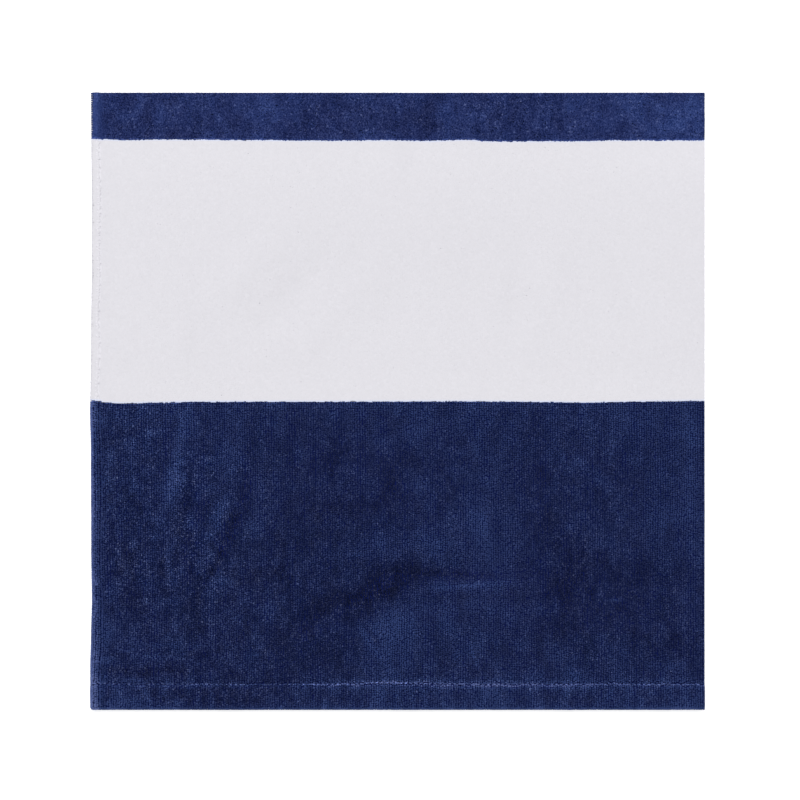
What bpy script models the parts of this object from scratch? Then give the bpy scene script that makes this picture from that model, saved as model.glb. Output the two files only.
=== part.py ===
"""Beach towel cloth: a flat length of striped velour towelling with two hemmed edges.

Metres, +Z up, with the origin under the middle of the cloth on the surface it lies on.
The end hem runs along -Y and the side hem along -X. The edges along +X and +Y are
straight cuts. The sheared pile is the upper face, and the looped back lies underneath.
"""

import math
from collections import namedtuple

import bpy

# The cloth as it lies
WIDTH = 0.4298  # side hem's fold, where it stands out furthest, to the long cut edge
LENGTH = 0.4316  # end hem's fold to the short cut edge
THICKNESS = 0.0030  # back loops, ground weave and pile in the open cloth

# Stripes woven across the width, in order from the end hem's fold
NEAR_STRIPE = 0.2156  # navy, the end hem included
WHITE_STRIPE = 0.1834
# The navy far stripe takes the rest, up to the cut.

# A hem: stitches is the distance from its fold to the middle of its stitch line, rise the
# height that its turned layers add, and the groove is where the stitches pull the pile in.
Hem = namedtuple("Hem", "stitches rise groove_depth groove_reach")
END_HEM = Hem(stitches=0.0178, rise=0.0018, groove_depth=0.0011, groove_reach=0.0017)
SIDE_HEM = Hem(stitches=0.0058, rise=0.0012, groove_depth=0.0008, groove_reach=0.0012)
HEM_STEP = 0.0030  # how far the face takes to come down from a hem to the open cloth

# The outline
FOLD_ROUND = 0.0022  # reach of the rounding at a turned edge
FOLD_FLAT = 0.30  # share of the height that stands straight at the very fold
CORNER_RADIUS = 0.0030  # corner where the two hems meet, seen from above

# How far the side edge draws in from its furthest line: distance from the end hem's fold,
# and the inset there
Sway = namedtuple("Sway", "along inset")
SIDE_SWAY = (
    Sway(0.000, 0.0002),
    Sway(0.028, 0.0001),
    Sway(0.052, 0.0007),
    Sway(0.078, 0.0013),
    Sway(0.110, 0.0008),
    Sway(0.185, 0.0006),
    Sway(0.206, 0.0000),
    Sway(0.245, 0.0007),
    Sway(0.340, 0.0014),
    Sway(0.400, 0.0009),
    Sway(LENGTH, 0.0007),
)

# Soft folds and pressed places of the cloth, one row each: the middle, the length and width
# over which it fades out, the heading from +X, and the height, which is negative in a trough
Fold = namedtuple("Fold", "name x y length width heading height")
FOLDS = (
    Fold("long crease, low end", -0.060, -0.159, 0.062, 0.015, 35, -0.0012),
    Fold("long crease, bend", -0.013, -0.130, 0.044, 0.016, 27, -0.0018),
    Fold("long crease, level end", 0.046, -0.121, 0.090, 0.011, 0, -0.0015),
    Fold("swell before the crease", 0.002, -0.151, 0.042, 0.036, 10, 0.0019),
    Fold("low swell before the crease", 0.066, -0.140, 0.070, 0.022, -6, 0.0011),
    Fold("swell behind the crease", 0.020, -0.098, 0.096, 0.028, 8, 0.0014),
    Fold("first side ripple", -0.155, -0.054, 0.080, 0.016, 82, 0.0015),
    Fold("trough of the first ripple", -0.142, -0.082, 0.070, 0.014, 80, -0.0008),
    Fold("second side ripple", -0.121, -0.062, 0.076, 0.014, 72, 0.0014),
    Fold("trough of the second ripple", -0.112, -0.081, 0.078, 0.012, 67, -0.0014),
    Fold("third side ripple", -0.098, -0.068, 0.062, 0.014, 74, 0.0009),
    Fold("pressed place in the middle", -0.008, -0.062, 0.036, 0.056, 10, -0.0008),
    Fold("pressed place to its left", -0.048, -0.040, 0.070, 0.026, 14, -0.0007),
    Fold("upright trough", 0.098, -0.070, 0.072, 0.018, 88, -0.0009),
    Fold("swell to the right", 0.184, -0.083, 0.080, 0.026, 8, 0.0012),
    Fold("pressed place to the right", 0.146, -0.140, 0.108, 0.040, -8, -0.0009),
    Fold("end hem's left cockle", -0.118, -0.200, 0.050, 0.024, 84, 0.0008),
    Fold("end hem's middle cockle", 0.008, -0.196, 0.056, 0.030, 90, 0.0011),
    Fold("end hem's right cockle", 0.118, -0.200, 0.050, 0.016, 92, 0.0011),
    Fold("end hem's last cockle", 0.187, -0.198, 0.052, 0.020, 86, 0.0008),
    Fold("white stripe's left wave", -0.104, 0.090, 0.084, 0.026, 48, 0.0011),
    Fold("trough beside the left wave", -0.078, 0.072, 0.080, 0.022, 48, -0.0008),
    Fold("white stripe's middle wave", -0.046, 0.062, 0.078, 0.024, 52, 0.0009),
    Fold("white stripe's low trough", -0.143, 0.030, 0.080, 0.018, 88, -0.0008),
    Fold("white stripe's right trough", 0.078, 0.066, 0.074, 0.018, 86, -0.0008),
    Fold("white stripe's right wave", 0.104, 0.074, 0.074, 0.024, 84, 0.0009),
    Fold("white stripe's last wave", 0.168, 0.040, 0.080, 0.026, 104, 0.0011),
    Fold("white stripe's far trough", 0.006, 0.166, 0.052, 0.016, 90, -0.0008),
    Fold("far stripe's swell", -0.050, 0.198, 0.070, 0.036, 0, 0.0008),
    Fold("far stripe's right swell", 0.150, 0.200, 0.080, 0.030, 0, 0.0009),
)
SLACK_UNDER = 0.0003  # rise of the cloth's middle that leaves its underside on the ground

# The grid's sections, each with where it starts and how many steps it is cut into
Section = namedtuple("Section", "name start steps")
CREASE_START = 0.078
CREASE_END = 0.106
WIDTH_SECTIONS = (
    Section("rounded fold", 0.0, 3),
    Section("side hem", FOLD_ROUND, 1),
    Section("stitched groove", SIDE_HEM.stitches - SIDE_HEM.groove_reach, 4),
    Section("open cloth", SIDE_HEM.stitches + SIDE_HEM.groove_reach, 48),
)
LENGTH_SECTIONS = (
    Section("rounded fold", 0.0, 3),
    Section("end hem", FOLD_ROUND, 3),
    Section("stitched groove", END_HEM.stitches - END_HEM.groove_reach, 4),
    Section("near stripe before the crease", END_HEM.stitches + END_HEM.groove_reach, 7),
    Section("crease", CREASE_START, 6),
    Section("near stripe behind the crease", CREASE_END, 13),
    Section("white stripe", NEAR_STRIPE, 18),
    Section("far stripe", NEAR_STRIPE + WHITE_STRIPE, 4),
)

# Colours of the two yarns
NAVY = (0.018, 0.028, 0.098, 1.0)
WHITE = (0.82, 0.81, 0.84, 1.0)
ROUGHNESS = 0.9
SMOOTH_BELOW = math.radians(50)


def smooth_step(value):
    """0 below 0, 1 above 1, and an even S between."""
    share = min(1.0, max(0.0, value))
    return share * share * (3.0 - 2.0 * share)


def grid_lines(sections, end):
    """The distances of the grid's lines, from 0 to end."""
    lines = [0.0]
    stops = [section.start for section in sections[1:]] + [end]
    for section, stop in zip(sections, stops):
        for step in range(1, section.steps + 1):
            lines.append(section.start + (stop - section.start) * step / section.steps)
    return lines


def side_inset(along):
    """How far the side edge lies inside its furthest line, at a distance from the end hem's fold."""
    for here, after in zip(SIDE_SWAY, SIDE_SWAY[1:]):
        if along <= after.along:
            share = smooth_step((along - here.along) / (after.along - here.along))
            return here.inset + (after.inset - here.inset) * share
    return SIDE_SWAY[-1].inset


def rounded_corner(from_side, from_end):
    """The same grid point once the corner between the hems is bent round."""
    across = max(0.0, 1.0 - from_side / CORNER_RADIUS)
    along = max(0.0, 1.0 - from_end / CORNER_RADIUS)
    from_side += CORNER_RADIUS * across * (1.0 - math.sqrt(1.0 - along * along / 2.0))
    from_end += CORNER_RADIUS * along * (1.0 - math.sqrt(1.0 - across * across / 2.0))
    return from_side, from_end


def hem_height(distance, hem):
    """What a hem adds to the face's height, at a distance from its fold."""
    rise = hem.rise * smooth_step((hem.stitches + HEM_STEP / 2.0 - distance) / HEM_STEP)
    groove = hem.groove_depth * math.exp(-(((distance - hem.stitches) / hem.groove_reach) ** 2))
    return rise - groove


def fold_height(x, y, fold):
    """What one fold adds at a point: a mound or trough that fades out on all sides."""
    heading = math.radians(fold.heading)
    along = (x - fold.x) * math.cos(heading) + (y - fold.y) * math.sin(heading)
    across = (y - fold.y) * math.cos(heading) - (x - fold.x) * math.sin(heading)
    fade = (2.0 * along / fold.length) ** 2 + (2.0 * across / fold.width) ** 2
    return fold.height * math.exp(-fade)


def fullness(distance):
    """Share of the full height at a distance from a turned edge."""
    inward = min(1.0, distance / FOLD_ROUND)
    return FOLD_FLAT + (1.0 - FOLD_FLAT) * math.sqrt(1.0 - (1.0 - inward) ** 2)


def cloth_point(from_side, from_end):
    """(x, y, underside height, face height) at a grid point."""
    bent_side, bent_end = rounded_corner(from_side, from_end)
    taper = 1.0 - from_side / WIDTH
    x = -WIDTH / 2.0 + bent_side + side_inset(from_end) * taper
    y = -LENGTH / 2.0 + bent_end
    swell = sum(fold_height(x, y, fold) for fold in FOLDS)
    lift = max(0.0, swell - SLACK_UNDER)
    layers = THICKNESS + hem_height(from_side, SIDE_HEM) + hem_height(from_end, END_HEM)
    body = layers + swell - lift
    full = fullness(from_side) * fullness(from_end)
    lowest = lift + body * (1.0 - full) / 2.0
    return x, y, lowest, lowest + body * full


def is_white(from_end):
    return NEAR_STRIPE < from_end < NEAR_STRIPE + WHITE_STRIPE


def towel_geometry(across, along):
    """(points, faces, stripe of each face) of the closed sheet on the grid."""
    wide, long = len(across), len(along)
    under, upper = [], []
    for from_end in along:
        for from_side in across:
            x, y, low, high = cloth_point(from_side, from_end)
            under.append((x, y, low))
            upper.append((x, y, high))
    over = wide * long
    faces, white = [], []
    for row in range(long - 1):
        stripe = is_white((along[row] + along[row + 1]) / 2.0)
        for column in range(wide - 1):
            a = row * wide + column
            b, c, d = a + 1, a + 1 + wide, a + wide
            faces.append((over + a, over + b, over + c, over + d))
            faces.append((a, d, c, b))
            white += [stripe, stripe]
        left = row * wide
        right = left + wide - 1
        faces.append((left, over + left, over + left + wide, left + wide))
        faces.append((right, right + wide, over + right + wide, over + right))
        white += [stripe, stripe]
    back = (long - 1) * wide
    for column in range(wide - 1):
        faces.append((column, column + 1, over + column + 1, over + column))
        far = back + column
        faces.append((far, over + far, over + far + 1, far + 1))
        white += [False, False]
    return under + upper, faces, white


def yarn_material(name, colour):
    material = bpy.data.materials.new(name)
    material.use_nodes = True
    material.diffuse_color = colour
    shader = material.node_tree.nodes["Principled BSDF"]
    shader.inputs["Base Color"].default_value = colour
    shader.inputs["Roughness"].default_value = ROUGHNESS
    shader.inputs["Metallic"].default_value = 0.0
    return material


def clear_scene():
    for thing in list(bpy.data.objects):
        bpy.data.objects.remove(thing)


def make_towel():
    across = grid_lines(WIDTH_SECTIONS, WIDTH)
    along = grid_lines(LENGTH_SECTIONS, LENGTH)
    points, faces, white = towel_geometry(across, along)
    mesh = bpy.data.meshes.new("towel_cloth")
    mesh.from_pydata(points, [], faces)
    mesh.materials.append(yarn_material("navy_yarn", NAVY))
    mesh.materials.append(yarn_material("white_yarn", WHITE))
    for polygon, stripe in zip(mesh.polygons, white):
        polygon.material_index = int(stripe)
    mesh.shade_smooth()
    mesh.set_sharp_from_angle(angle=SMOOTH_BELOW)
    towel = bpy.data.objects.new("towel_cloth", mesh)
    bpy.context.scene.collection.objects.link(towel)
    return towel


clear_scene()
make_towel()
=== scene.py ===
"""Dresses the flat beach towel cloth: ground weave, sheared pile, back loops and hem stitches."""

import math
from collections import namedtuple

import bpy
import numpy as np
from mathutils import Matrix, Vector


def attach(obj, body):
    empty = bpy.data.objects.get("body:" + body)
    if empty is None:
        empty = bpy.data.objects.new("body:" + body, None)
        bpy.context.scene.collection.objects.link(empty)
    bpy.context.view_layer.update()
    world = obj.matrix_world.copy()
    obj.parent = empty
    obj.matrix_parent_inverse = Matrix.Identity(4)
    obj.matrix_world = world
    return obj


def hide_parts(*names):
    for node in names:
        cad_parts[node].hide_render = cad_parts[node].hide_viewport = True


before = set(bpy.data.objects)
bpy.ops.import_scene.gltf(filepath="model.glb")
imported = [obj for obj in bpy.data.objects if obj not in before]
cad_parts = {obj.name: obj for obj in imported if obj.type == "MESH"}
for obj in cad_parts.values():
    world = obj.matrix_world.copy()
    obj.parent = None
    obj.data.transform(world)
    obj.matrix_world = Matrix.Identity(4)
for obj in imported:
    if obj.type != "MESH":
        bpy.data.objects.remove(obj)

bl_info = {
    "name": "Striped velour beach towel",
    "version": (1, 0, 0),
    "blender": (4, 5, 0),
    "location": "3D View > Sidebar > Towel",
    "description": "Builds the pile, ground weave, back loops and hem stitches of a flat towel cloth",
    "category": "Add Mesh",
}

NODE = "towel_cloth"
BODY = "root"

MM = 0.001


def table(kind, units, rows):
    """Named rows from plain ones, with each column in a unit of its own."""
    return tuple(kind(*(value * unit for value, unit in zip(row, units))) for row in rows)


# --- The cloth, as the solid has it, in metres ------------------------------------------

WIDTH = 0.4298  # side hem's fold, where it stands out furthest, to the long cut edge
LENGTH = 0.4316  # end hem's fold to the short cut edge
THICKNESS = 0.0030
NEAR_STRIPE = 0.2156  # navy, the end hem included
WHITE_STRIPE = 0.1834
FAR_EDGE = NEAR_STRIPE + WHITE_STRIPE  # from the end hem's fold to where the far stripe starts

Hem = namedtuple("Hem", "stitches rise groove_depth groove_reach")
END_HEM = Hem(stitches=0.0178, rise=0.0018, groove_depth=0.0011, groove_reach=0.0017)
SIDE_HEM = Hem(stitches=0.0058, rise=0.0012, groove_depth=0.0008, groove_reach=0.0012)
HEM_STEP = 0.0030
FLAP_PAST_STITCHES = 0.0012  # the turned flap ends this far past its stitches, underneath

FOLD_ROUND = 0.0022
CORNER_RADIUS = 0.0030
SLACK_UNDER = 0.0003

# How far in from straight the side hem's fold lies, along the cloth
Sway = namedtuple("Sway", "along inset")
SIDE_SWAY = table(Sway, (MM, MM), (
    (0, 0.2), (28, 0.1), (52, 0.7), (78, 1.3), (110, 0.8), (185, 0.6), (206, 0), (245, 0.7), (340, 1.4),
    (400, 0.9), (LENGTH / MM, 0.7),
))

# Soft mounds: middle, length and width, heading from +X in degrees, and strength
Mound = namedtuple("Mound", "x y length width heading strength")

# The cloth's folds: the strength is the height
FOLDS = table(Mound, (MM, MM, MM, MM, 1.0, MM), (
    (-60, -159, 62, 15, 35, -1.2),  # long crease, low end
    (-13, -130, 44, 16, 27, -1.8),  # long crease, bend
    (46, -121, 90, 11, 0, -1.5),  # long crease, level end
    (2, -151, 42, 36, 10, 1.9),  # swell before the crease
    (66, -140, 70, 22, -6, 1.1),  # low swell before the crease
    (20, -98, 96, 28, 8, 1.4),  # swell behind the crease
    (-155, -54, 80, 16, 82, 1.5),  # first side ripple
    (-142, -82, 70, 14, 80, -0.8),  # trough of the first ripple
    (-121, -62, 76, 14, 72, 1.4),  # second side ripple
    (-112, -81, 78, 12, 67, -1.4),  # trough of the second ripple
    (-98, -68, 62, 14, 74, 0.9),  # third side ripple
    (-8, -62, 36, 56, 10, -0.8),  # pressed place in the middle
    (-48, -40, 70, 26, 14, -0.7),  # pressed place to its left
    (98, -70, 72, 18, 88, -0.9),  # upright trough
    (184, -83, 80, 26, 8, 1.2),  # swell to the right
    (146, -140, 108, 40, -8, -0.9),  # pressed place to the right
    (-118, -200, 50, 24, 84, 0.8),  # end hem's left cockle
    (8, -196, 56, 30, 90, 1.1),  # end hem's middle cockle
    (118, -200, 50, 16, 92, 1.1),  # end hem's right cockle
    (187, -198, 52, 20, 86, 0.8),  # end hem's last cockle
    (-104, 90, 84, 26, 48, 1.1),  # white stripe's left wave
    (-78, 72, 80, 22, 48, -0.8),  # trough beside the left wave
    (-46, 62, 78, 24, 52, 0.9),  # white stripe's middle wave
    (-143, 30, 80, 18, 88, -0.8),  # white stripe's low trough
    (78, 66, 74, 18, 86, -0.8),  # white stripe's right trough
    (104, 74, 74, 24, 84, 0.9),  # white stripe's right wave
    (168, 40, 80, 26, 104, 1.1),  # white stripe's last wave
    (6, 166, 52, 16, 90, -0.8),  # white stripe's far trough
    (-50, 198, 70, 36, 0, 0.8),  # far stripe's swell
    (150, 200, 80, 30, 0, 0.9),  # far stripe's right swell
))

# --- Where the pile lies lighter or darker, and its painted light and shade -------------

# Brushed or crushed places of the nap, with painted shade along the cloth's creases, troughs and waves
# and painted light on its ripples, swells and cockles: the strength is how much lighter the nap looks
# there, as a natural logarithm, as are all tones that follow
TONE_UNITS = (MM, MM, MM, MM, 1.0, 1.0)
BRUSHED_AND_SHADED_NAVY = table(Mound, TONE_UNITS, (
    # light streaks down the left, partly painted light on the side ripples
    (-149, -20, 40, 11, 84, 0.40), (-155, -46, 70, 14, 80, 0.16), (-157, -61, 40, 15, 80, 0.40),
    (-170, -103, 36, 10, 62, 0.20), (-120, -48, 34, 12, 76, 0.32), (-125, -78, 34, 11, 68, 0.32),
    (-99, -84, 44, 9, 84, 0.22), (-195, -37, 18, 16, 0, 0.18), (-200, -79, 20, 16, 0, 0.16),
    (-192, -165, 34, 16, -15, 0.18),
    # dark lines beside them, partly painted shade in the ripples' troughs
    (-109.2, -72, 26, 6, 78, -0.40), (-116, -88.5, 36, 5.6, 64, -0.50),
    (-126.5, -112.5, 36, 5.2, 64, -0.46), (-103, -52, 30, 8, 84, -0.08), (-152, -96, 48, 12, 75, -0.22),
    (-187, -76, 34, 24, 0, -0.16), (-187, -110, 26, 20, 0, -0.22), (-184, -146, 34, 24, 0, -0.22),
    (-143, -150, 40, 24, 60, -0.18),
    # above the crease
    (15, -21, 40, 15, 4, 0.24), (55, -28, 34, 14, 88, 0.18), (15, -57, 18, 15, 0, 0.18),
    (58, -87, 36, 16, 100, 0.34), (27, -100, 26, 18, 0, 0.34), (-23, -102, 28, 12, 18, 0.24),
    (-8, -68, 20, 26, 0, -0.40), (1, -46, 30, 10, 60, -0.28), (-52, -40, 50, 16, 15, -0.24),
    (-41, -76, 44, 20, 10, -0.24), (-75, -97, 40, 16, 12, -0.20),
    # the crease, with painted shade in it, and the swell before it, with painted light on it
    (-1, -122.5, 44, 18, 6, -0.78), (-16, -135, 26, 12, 18, -0.46), (-32, -138.5, 34, 14, 8, -0.74),
    (-58, -144, 34, 18, 24, -0.30), (-70, -160, 34, 18, 24, -0.26), (-82, -167, 62, 22, 48, -0.18),
    (-44, -174, 30, 18, 20, -0.30), (43, -121, 62, 5.6, -3, -0.52), (52, -128.5, 52, 4.2, 5, 0.46),
    (24, -129, 24, 7, 0, 0.24), (42, -136.5, 40, 6, 2, -0.16), (-2, -157, 34, 30, 30, 0.58),
    (-16, -176, 22, 18, 0, 0.26), (-21, -165, 30, 4.5, -56, 0.30), (-16.5, -166, 24, 4, -56, -0.30),
    (37, -157, 26, 12, 104, 0.30), (58, -132, 60, 10, 2, 0.20), (66, -144, 34, 12, -4, 0.22),
    (100, -147, 22, 12, 0, 0.16), (60, -174, 30, 8, 122, 0.18),
    # to the right, with painted shade in the upright trough and painted light on the swell
    (100, -51, 14, 28, 0, -0.24), (102, -88, 32, 16, 80, -0.30), (130, -60, 46, 10, -20, -0.16),
    (158, -46, 22, 20, 0, -0.18), (119, -121, 46, 26, 80, -0.30), (169, -119, 96, 24, -4, -0.26),
    (178, -144, 44, 22, -10, -0.28), (122, -158, 40, 22, -30, -0.30), (192, -166, 48, 22, 0, -0.34),
    (166, -18, 26, 18, 0, 0.18), (191, -82, 46, 14, 8, 0.34), (204, -56, 16, 24, 0, 0.20),
    (143, -160, 22, 12, 90, 0.16), (114, -178, 24, 12, 60, 0.22), (158, -178, 24, 10, 80, 0.18),
    # scuffs, where single rows show
    (-27, -107.5, 9, 2, 0, 0.50), (153, -139, 10, 2, 0, 0.60), (-98, -177, 7, 2, 0, 0.50),
    (53, -176.5, 19, 2, -70, 0.55),
    # the low left corner
    (-185, -187.8, 54, 6, 0, -0.42), (-184, -195.1, 24, 3.4, 0, 0.42), (-204, -181, 12, 7, 0, 0.40),
    (-204, -191, 10, 3.6, 90, 0.34), (-203.5, -173.5, 14, 4, 90, 0.20), (-189, -174, 16, 3, 4, 0.30),
    (-198, -177, 18, 4.4, 0, -0.30), (-166, -179, 40, 3.4, -4, 0.24), (-160, -170, 50, 3.4, 0, 0.20),
    (-150, -188, 30, 6, 0, -0.24), (-194, -202, 8, 6, 90, 0.28), (-203, -206.5, 20, 5, 90, -0.40),
    (-161, -213.7, 16, 1.8, 0, 0.40),
    # wide, faint changes
    (62, -62, 130, 36, 90, 0.10), (-47, -90, 90, 50, 90, -0.14), (-8, -133, 24, 18, 0, -0.22),
    (45, -143, 50, 24, 0, 0.14), (1, -177, 40, 20, 0, 0.16), (142, -132, 60, 60, 0, -0.16),
    (205, -20, 40, 16, 90, 0.24), (205, -68, 100, 14, 90, 0.10), (205, -148, 22, 16, 90, 0.20),
    (-200, -95, 180, 16, 90, 0.07), (-165, -30, 80, 50, 90, 0.08), (0, -8, 500, 22, 0, 0.08),
    # small clouds
    (-182, -8, 60, 12, 0, 0.13), (-118, -8, 14, 12, 0, 0.24), (-24, -8, 26, 12, 0, 0.24),
    (160, -8, 110, 12, 0, 0.10), (-132, -29, 36, 14, 90, -0.14), (193, -22, 18, 16, 0, 0.26),
    (-30, -38, 30, 16, 0, -0.25), (-34, -50, 80, 16, 0, -0.11), (93, -71, 30, 13, 90, -0.16),
    (-188, -92, 14, 14, 0, 0.26), (-146, -96, 20, 14, 90, -0.30), (-43, -92, 26, 14, 0, -0.23),
    (130, -96, 28, 18, 0, -0.15), (65, -110, 22, 14, 90, 0.15), (-181, -120, 30, 14, 0, -0.26),
    (-146, -120, 14, 14, 0, -0.34), (-112, -120, 26, 14, 0, -0.22), (-82, -120, 34, 15, 0, -0.42),
    (100, -120, 30, 14, 0, -0.15), (-4, -134, 42, 14, 0, -0.18), (90, -134, 110, 14, 0, -0.11),
    (-34, -149, 44, 14, 0, -0.36), (-28, -147, 24, 12, 0, -0.16), (-8, -122.5, 26, 13, 6, -0.22),
    (-69, -151.5, 32, 14, 24, 0.18), (152, -148, 75, 16, 0, -0.17), (-132, -160, 16, 16, 0, -0.15),
    (-104, -162, 14, 18, 0, -0.30), (-62, -162, 18, 16, 0, -0.24), (136, -163, 46, 14, 0, -0.13),
    (-202, -150, 100, 12, 90, 0.13), (65, -176, 14, 12, 0, -0.24), (136, -177, 44, 12, 0, -0.10),
    (-70, -190, 100, 14, 0, -0.13), (-6, -190, 24, 14, 0, 0.30), (122, -190, 14, 12, 0, 0.42),
    (-196, -8, 30, 12, 0, 0.12), (-188, -50, 50, 14, 90, 0.11), (-12, -92, 40, 14, 0, 0.09),
    (186, -96, 30, 22, 0, 0.13), (-160, -120, 14, 14, 0, 0.17), (-83, -120, 30, 14, 0, -0.12),
    (-160, -190, 14, 12, 0, -0.20), (-34, -190, 14, 12, 0, -0.17), (93, -78, 14, 14, 0, -0.15),
    (206, -40, 90, 12, 90, 0.11), (206, -128, 50, 12, 90, 0.12), (178, -50, 14, 14, 0, 0.16),
    (-204, -22, 50, 12, 90, 0.13), (-204, -154, 32, 12, 90, 0.12), (86, -148, 26, 14, 0, 0.15),
    (-90, -162, 14, 14, 0, 0.16), (23, -84, 30, 14, 90, 0.15), (-160, -206.5, 14, 14, 0, -0.18),
    # along the white stripe
    (0, -2.4, 600, 6, 0, 0.12),
    # the end hem: painted light over the hem band and on its cockles
    (70, -206.5, 340, 18, 0, 0.10), (-195, -206.5, 36, 18, 0, 0.40), (-104, -206.5, 60, 18, 0, -0.20),
    (-10, -206.5, 30, 16, 0, 0.20), (66, -206.5, 40, 16, 0, 0.26), (149, -206.5, 14, 16, 0, 0.27),
    (205, -206.5, 30, 20, 0, 0.34), (-94, -206.5, 18, 2.4, 90, 0.22), (6, -206.5, 18, 2.4, 90, 0.22),
    (117, -206.5, 18, 2.4, 90, 0.22), (186, -206.5, 18, 2.4, 90, 0.22),
    # the far stripe
    (-139, 198, 30, 20, 90, -0.12), (-20, 191.5, 360, 12, 0, -0.05), (-181, 194, 30, 14, 0, -0.10),
    (-181, 200, 32, 6, 90, 0.13), (-166, 200, 32, 5, 90, 0.13), (-173.5, 197, 26, 6, 90, -0.10),
    (-153, 204, 18, 14, 0, -0.08), (-111, 205, 20, 14, 0, 0.06), (-100, 192, 36, 14, 0, -0.07),
    (-76, 205, 18, 14, 0, 0.10), (-20, 205, 38, 14, 0, -0.08), (23, 205, 30, 14, 0, 0.07),
    (31, 193, 24, 14, 0, -0.12), (72, 205, 52, 14, 0, -0.08), (122, 206, 14, 14, 0, 0.20),
    (206, 206, 14, 14, 0, 0.14), (-41, 198, 34, 40, 90, -0.12), (21, 198, 34, 18, 84, -0.30),
    (37, 198, 34, 16, 84, 0.14), (86, 200, 44, 56, 90, -0.20), (-92, 198, 34, 30, 90, 0.12),
    (196, 198, 34, 50, 90, 0.24), (150, 198, 140, 50, 0, 0.08),
))
# the white stripe: painted shade along its troughs and waves, and broad lighter and darker bands
BRUSHED_AND_SHADED_WHITE = table(Mound, TONE_UNITS, (
    (6, 166, 40, 10, 90, -0.016), (62, 180, 24, 14, 90, -0.016), (78, 66, 60, 10, 86, -0.014),
    (-143, 32, 70, 12, 88, -0.014), (-104, 92, 70, 18, 48, -0.010), (-76, 76, 80, 20, 48, -0.014),
    (-40, 90, 60, 16, 60, -0.014), (-10, 80, 60, 30, 70, -0.010), (42, 98, 60, 26, 88, -0.010),
    (118, 92, 50, 12, 110, -0.012), (154, 80, 60, 12, 112, -0.012), (10, 8, 460, 30, 0, 0.014),
    (170, 8, 120, 30, 0, 0.012), (0, 116, 420, 60, 0, -0.011), (190, 172, 100, 40, 0, 0.020),
    (20, 46, 440, 30, 0, 0.006), (0, 172, 440, 20, 0, 0.005), (0, 146, 400, 30, 0, -0.004),
))

# Where the navy pile's grain is coarser or finer: the strength is how much coarser
COARSER_NAVY = table(Mound, TONE_UNITS, (
    (186, -55, 150, 80, 90, -0.27), (-125, -18, 50, 36, 0, -0.65), (182, -14, 60, 30, 0, -0.20),
    (118, -85, 50, 24, 90, 0.20), (76, -102, 110, 44, 90, -0.34), (50, -156, 100, 50, 0, -0.11),
    (-168, -155, 60, 50, 0, -0.15), (-84, -178, 130, 34, 0, 0.18), (-73, -140, 30, 24, 0, 0.25),
    (-110, -106, 100, 40, 0, 0.08), (20, -30, 120, 40, 0, -0.08), (-90, -206.5, 150, 20, 0, 0.14),
    (118, -206.5, 40, 20, 0, 0.12), (-180, 198, 60, 40, 0, 0.10), (196, 198, 50, 40, 0, 0.30),
    (-150, -62, 50, 20, 84, 0.34), (-120, -76, 44, 18, 84, 0.16), (-190, -42, 36, 18, 84, 0.16),
))
LIGHTEST = 1.25
LIGHTEST_SHADE = 0.72
FAR_STRIPE_GRAIN = 0.78
LEFT_COARSER = 0.64  # how much coarser the grain is down the left side
CORNER_SPARED = 0.5  # how much less so near the end hem
TURNED_GRAIN = 0.5  # share of the grain that is left where the cloth turns over
WHITE_GROOVE_LIGHT = 0.12  # the white pile hides the side hem's stitches, and painted light fills the shade of their groove
WHITE_HEM_REACH = 0.0010  # how far from the stitches that painted light reaches
LIGHT_EVENED = 1.50  # how much finer the grain is for each step of lighter nap
DARK_EVENED = 0.80  # how much coarser it is for each step of darker nap
TUFT_GRAIN = 0.08  # how much one navy tuft differs from the next
WHITE_TUFT_GRAIN = 0.010
POINT_GRAIN = 0.10  # how much the corners of one tuft differ
SPECK_SHARE = 0.020  # share of the corners that catch the light
SPECK_TONE = 0.80
FAR_STRIPE_LIGHT = 0.06  # painted light: the far stripe's nap leans the other way and takes more light, so it is painted lighter

# Painted sheen along the side hem's fold: how far in it reaches, how much, and how much painted light lies
# on the hem
Rim = namedtuple("Rim", "along reach peak shelf")
RIM = table(Rim, (MM, MM, 1.0, 1.0), (
    (0, 5.8, 0.50, 0.56), (20, 5.8, 0.50, 0.52), (45, 5.6, 0.54, 0.40), (90, 4.8, 0.68, 0.20),
    (150, 4.8, 0.86, 0.12), (NEAR_STRIPE / MM, 4.8, 0.86, 0.12), (400, 6, 0.38, 0.22),
    (LENGTH / MM, 6, 0.38, 0.22),
))
# painted sheen along the end hem's fold
END_RIM = Rim(along=0.0, reach=0.0034, peak=0.56, shelf=0.0)
RIM_BELOW = 0.5  # the painted sheen starts on tufts that point down by this much
RIM_EDGE = 3.0  # how sharply the painted sheen ends at its reach, on the side hem
END_RIM_EDGE = 1.5  # and on the end hem
SHELF_PAST = 0.0020  # how far past the side hem's stitches its shelf is painted lighter
SHELF_FADE = 0.0030
HEM_FADE = 0.002  # the end hem's own streaks reach their strength this far inside its stitches
STEP_PLACE = 0.0070  # from the side hem's fold to where its step ends and the nap spreads open
STEP_REACH = 0.0008
STEP_WIDER = 0.35  # how much wider its tufts spread
STEP_FILL_LIGHT = 0.06  # painted light that fills the shade between the spread tufts at the step

# Painted light on both sides of the end hem's stitch groove, along the hem
Glow = namedtuple("Glow", "x wide near")
STITCH_GLOW = table(Glow, (MM, 1.0, 1.0), (
    (-215, 0.20, 0.25), (-180, 0.08, 0.34), (-80, 0.10, 0.44), (-40, 0.38, 0.72), (-10, 0.46, 0.80),
    (50, 0.38, 0.74), (110, 0.32, 0.56), (160, 0.26, 0.45), (215, 0.26, 0.43),
))
WIDE_GLOW = 0.0042
NEAR_GLOW = 0.0011

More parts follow.
